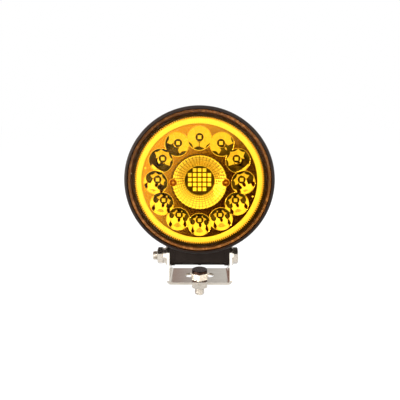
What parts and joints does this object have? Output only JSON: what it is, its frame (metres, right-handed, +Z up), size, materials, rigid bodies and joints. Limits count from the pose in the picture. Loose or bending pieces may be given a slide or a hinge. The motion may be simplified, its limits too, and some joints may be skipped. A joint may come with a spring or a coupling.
{
  "type": "fog light",
  "caption": "Round auxiliary fog light with an amber lens, halo ring and finned head that tilts and swivels on a U-bracket.",
  "frame": {"origin": "where the mounting bolt's axis crosses the underside of the bracket's foot", "axes": "+X right, +Y towards the back, +Z up; the lamp shines along -Y and the mounting stud points along -Z"},
  "size_m": [0.116, 0.0496, 0.16],
  "materials": {
    "black_casting": "black powder coat",
    "amber_lens": "polished",
    "grey_seal": "matte",
    "clear_light_guide": "gloss",
    "white_board": "matte",
    "led": "gloss",
    "metallised": "vacuum metallised",
    "plated_screw": "satin",
    "black_board": "matte",
    "thermal_pad": "matte",
    "green_board": "matte",
    "black_nylon": "moulded",
    "polished_stainless": "polished",
    "stainless_fastener": "turned"
  },
  "bodies": {
    "mounting_bolt_set": {"mounting_bolt": "stainless_fastener", "mounting_washer": "stainless_fastener", "mounting_spring_washer": "stainless_fastener", "mounting_nut": "stainless_fastener"},
    "bracket": {"bracket": "polished_stainless", "tilt_bolt": "stainless_fastener", "tilt_nut": "stainless_fastener", "tilt_washers": "stainless_fastener", "tilt_spring_washer": "stainless_fastener"},
    "head": {"housing": "black_casting", "lens": "amber_lens", "lens_gasket": "grey_seal", "halo_ring": "clear_light_guide", "halo_led_board": "white_board", "halo_leds": "led", "reflector": "metallised", "centre_reflector": "metallised", "centre_screws": "plated_screw", "main_board": "black_board", "outer_leds": "led", "centre_leds": "led", "board_screws": "plated_screw", "thermal_pad": "thermal_pad", "driver_board": "green_board", "cable_gland": "black_nylon", "gland_nut": "black_nylon", "breather_vent": "black_nylon"}
  },
  "joints": [
    {"name": "bracket_swivel", "type": "hinge", "parent": "mounting_bolt_set", "child": "bracket", "pos_m": [0, 0, 0], "axis": [0, 0, 1], "continuous": true},
    {"name": "head_tilt", "type": "hinge", "parent": "bracket", "child": "head", "pos_m": [0, 0, 0.02], "axis": [1, 0, 0], "range_deg": [-65, 70]}
  ]
}
